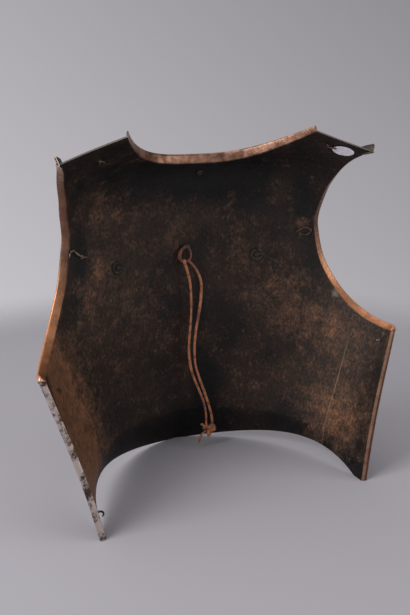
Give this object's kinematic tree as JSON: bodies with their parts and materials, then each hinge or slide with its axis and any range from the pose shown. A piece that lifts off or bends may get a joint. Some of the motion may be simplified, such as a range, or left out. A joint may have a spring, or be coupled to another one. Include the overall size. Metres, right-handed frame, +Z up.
{
  "type": "steel breastplate",
  "caption": "Curved steel breastplate with turned neck and arm borders, a ridge down the front, a flared skirt and a leather lace hanging inside.",
  "frame": {"origin": "floor under the middle of the plate's width and depth, as it stands on its lower edge", "axes": "+Z up, +Y towards the front of the breastplate (the hollow side faces -Y), +X towards the wearer's right arm as seen from the hollow side"},
  "size_m": [0.3858, 0.1846, 0.3714],
  "materials": {
    "plate_steel": "dark brown patina over blued, hammered steel sheet",
    "fitting_steel": "dark forged iron, hammered over",
    "lace_leather": "matt round leather lace",
    "label_paper": "matt paper"
  },
  "bodies": {
    "root": {"plate": "plate_steel", "chest_washer_left": "fitting_steel", "chest_stud_left": "fitting_steel", "arm_pin_left": "fitting_steel", "shoulder_pin_left": "fitting_steel", "flank_pin_left": "fitting_steel", "low_hook_left": "fitting_steel", "chest_washer_right": "fitting_steel", "chest_stud_right": "fitting_steel", "arm_pin_right": "fitting_steel", "shoulder_pin_right": "fitting_steel", "flank_pin_right": "fitting_steel", "low_hook_right": "fitting_steel", "neck_rivet": "fitting_steel", "flank_rivet": "fitting_steel", "lace_loop": "lace_leather", "lace_left": "lace_leather", "lace_right": "lace_leather", "lace_knot": "lace_leather", "label": "label_paper"}
  },
  "joints": []
}
